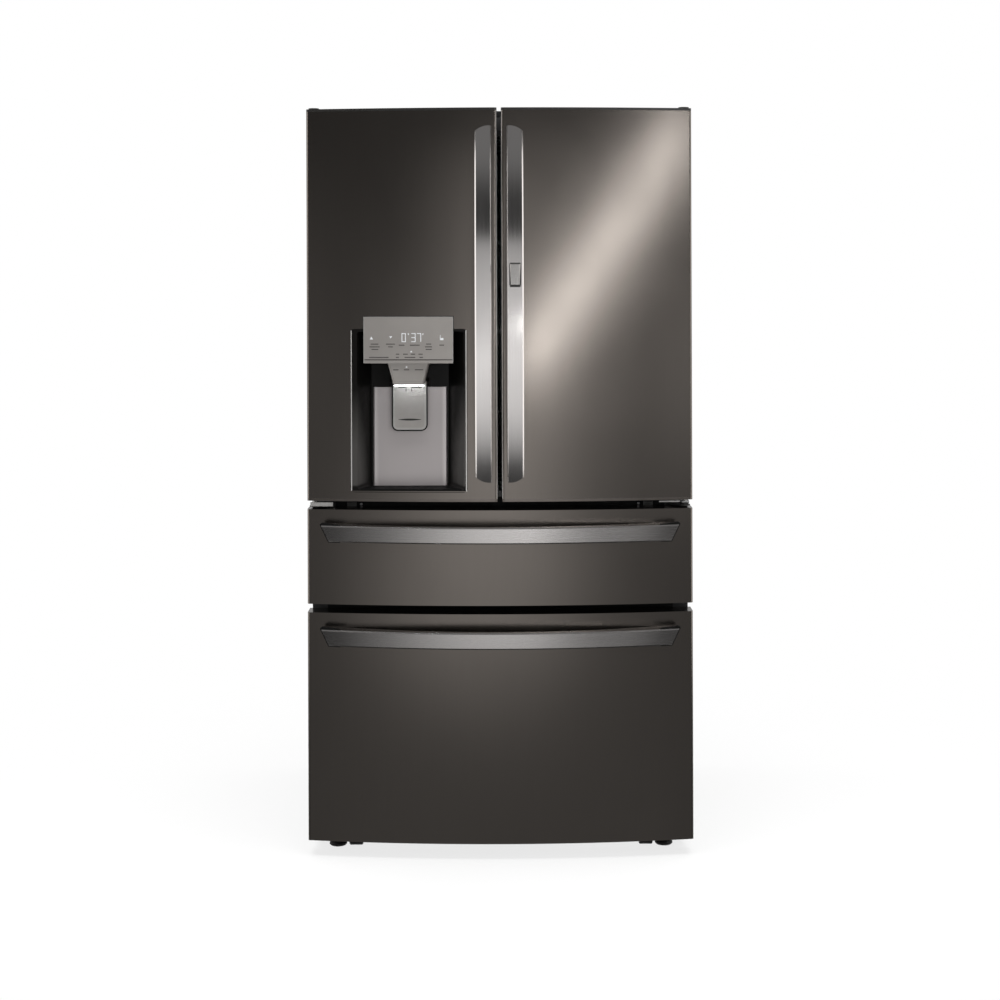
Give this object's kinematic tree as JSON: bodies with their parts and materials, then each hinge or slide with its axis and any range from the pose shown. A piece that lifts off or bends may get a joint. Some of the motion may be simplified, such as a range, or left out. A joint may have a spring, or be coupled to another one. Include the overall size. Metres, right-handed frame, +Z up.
{
  "type": "french door refrigerator",
  "caption": "Refrigerator with bowed french doors over stacked drawers, arched handles, a water and ice dispenser in the left door and a door-within-a-door on the right.",
  "frame": {"origin": "on the floor, in the middle of the footprint with the handles included", "axes": "+X to the right as seen from the front, the doors face -Y, +Z up"},
  "size_m": [0.908, 0.921, 1.764],
  "materials": {
    "black_stainless": "satin",
    "handle_steel": "satin",
    "case_paint": "satin",
    "zinc_steel": "satin",
    "dark_plastic": "matte",
    "liner_plastic": "satin",
    "clear_plastic": "gloss",
    "shelf_glass": "gloss",
    "gasket_rubber": "matte",
    "panel_plastic": "satin",
    "plate_steel": "satin",
    "lever_plastic": "satin",
    "foot_plastic": "matte",
    "compressor_paint": "satin",
    "coil_aluminium": "satin"
  },
  "bodies": {
    "cabinet": {"cabinet_shell": "case_paint", "rear_panel": "zinc_steel", "machine_cover": "zinc_steel", "fridge_liner": "liner_plastic", "middle_liner": "liner_plastic", "freezer_liner": "liner_plastic", "divider_rails": "case_paint", "door_hinges": "zinc_steel", "hinge_covers": "dark_plastic", "base_frame": "zinc_steel", "compressor": "compressor_paint", "condenser": "coil_aluminium", "fan_shroud": "dark_plastic", "evaporator": "coil_aluminium", "fridge_shelves": "shelf_glass", "crispers": "clear_plastic", "air_duct": "liner_plastic", "cabinet_slides": "zinc_steel"},
    "left_door": {"left_door_skin": "black_stainless", "left_door_caps": "dark_plastic", "left_door_liner": "liner_plastic", "left_door_gasket": "gasket_rubber", "left_handle": "handle_steel", "dispenser_housing": "dark_plastic", "dispenser_back_plate": "plate_steel", "dispenser_panel": "panel_plastic", "dispenser_chute": "panel_plastic", "ice_room": "liner_plastic", "left_door_baskets": "clear_plastic"},
    "mullion_flap": {"mullion_flap": "dark_plastic"},
    "dispenser_lever": {"dispenser_lever": "lever_plastic"},
    "inner_door": {"inner_door_frame": "liner_plastic", "inner_door_gasket": "gasket_rubber", "inner_door_baskets": "clear_plastic"},
    "outer_door": {"right_door_skin": "black_stainless", "right_door_caps": "dark_plastic", "right_door_liner": "liner_plastic", "outer_door_gasket": "gasket_rubber", "right_handle": "handle_steel"},
    "release_button": {"release_button": "handle_steel"},
    "middle_drawer": {"middle_skin": "black_stainless", "middle_front_liner": "liner_plastic", "middle_gasket": "gasket_rubber", "middle_handle": "handle_steel", "middle_bin": "clear_plastic", "middle_runners": "zinc_steel"},
    "middle_links": {"middle_slide_links": "zinc_steel"},
    "freezer_drawer": {"freezer_skin": "black_stainless", "freezer_front_liner": "liner_plastic", "freezer_gasket": "gasket_rubber", "freezer_handle": "handle_steel", "freezer_bin": "clear_plastic", "freezer_runners": "zinc_steel"},
    "freezer_links": {"freezer_slide_links": "zinc_steel"},
    "freezer_tray": {"freezer_tray": "clear_plastic"},
    "leg_left": {"leg_left": "foot_plastic"},
    "leg_right": {"leg_right": "foot_plastic"},
    "front_rollers": {"front_rollers": "foot_plastic"},
    "rear_rollers": {"rear_rollers": "foot_plastic"},
    "condenser_fan": {"condenser_fan": "dark_plastic"}
  },
  "joints": [
    {"name": "left_door_hinge", "type": "hinge", "parent": "cabinet", "child": "left_door", "pos_m": [-0.438, -0.3385, 1.298], "axis": [0, 0, -1], "range_deg": [0, 105]},
    {"name": "mullion_flap_hinge", "type": "hinge", "parent": "left_door", "child": "mullion_flap", "pos_m": [-0.021, -0.2765, 1.275], "axis": [0, 0, -1], "range_deg": [0, 90]},
    {"name": "dispenser_lever_hinge", "type": "hinge", "parent": "left_door", "child": "dispenser_lever", "pos_m": [-0.213, -0.3325, 1.1135], "axis": [1, 0, 0], "range_deg": [0, 7], "stiffness_Nm_per_rad": 2},
    {"name": "right_door_hinge", "type": "hinge", "parent": "cabinet", "child": "inner_door", "pos_m": [0.438, -0.3385, 1.298], "axis": [0, 0, 1], "range_deg": [0, 105]},
    {"name": "outer_door_hinge", "type": "hinge", "parent": "inner_door", "child": "outer_door", "pos_m": [0.438, -0.3385, 1.298], "axis": [0, 0, 1], "range_deg": [0, 105]},
    {"name": "release_button_slide", "type": "slide", "parent": "outer_door", "child": "release_button", "axis": [0, 1, 0], "range_m": [0, 0.003], "stiffness_N_per_m": 400},
    {"name": "middle_drawer_slide", "type": "slide", "parent": "cabinet", "child": "middle_drawer", "axis": [0, -1, 0], "range_m": [0, 0.42]},
    {"name": "middle_link_slide", "type": "slide", "parent": "cabinet", "child": "middle_links", "axis": [0, -1, 0], "range_m": [0, 0.21]},
    {"name": "freezer_drawer_slide", "type": "slide", "parent": "cabinet", "child": "freezer_drawer", "axis": [0, -1, 0], "range_m": [0, 0.42]},
    {"name": "freezer_link_slide", "type": "slide", "parent": "cabinet", "child": "freezer_links", "axis": [0, -1, 0], "range_m": [0, 0.21]},
    {"name": "freezer_tray_slide", "type": "slide", "parent": "freezer_drawer", "child": "freezer_tray", "axis": [0, 1, 0], "range_m": [0, 0.13]},
    {"name": "leg_left_turn", "type": "hinge", "parent": "cabinet", "child": "leg_left", "pos_m": [-0.391, -0.2675, 0.045], "axis": [0, 0, 1], "continuous": true},
    {"name": "leg_right_turn", "type": "hinge", "parent": "cabinet", "child": "leg_right", "pos_m": [0.391, -0.2675, 0.045], "axis": [0, 0, 1], "continuous": true},
    {"name": "front_rollers_turn", "type": "hinge", "parent": "cabinet", "child": "front_rollers", "pos_m": [0.347, -0.2715, 0.022], "axis": [1, 0, 0], "continuous": true},
    {"name": "rear_rollers_turn", "type": "hinge", "parent": "cabinet", "child": "rear_rollers", "pos_m": [0.38, 0.4035, 0.022], "axis": [1, 0, 0], "continuous": true},
    {"name": "condenser_fan_turn", "type": "hinge", "parent": "cabinet", "child": "condenser_fan", "pos_m": [-0.198, 0.353, 0.1355], "axis": [1, 0, 0], "continuous": true}
  ],
  "couplings": [
    {"joint": "middle_link_slide", "follows": "middle_drawer_slide", "ratio": 0.5},
    {"joint": "freezer_link_slide", "follows": "freezer_drawer_slide", "ratio": 0.5}
  ]
}
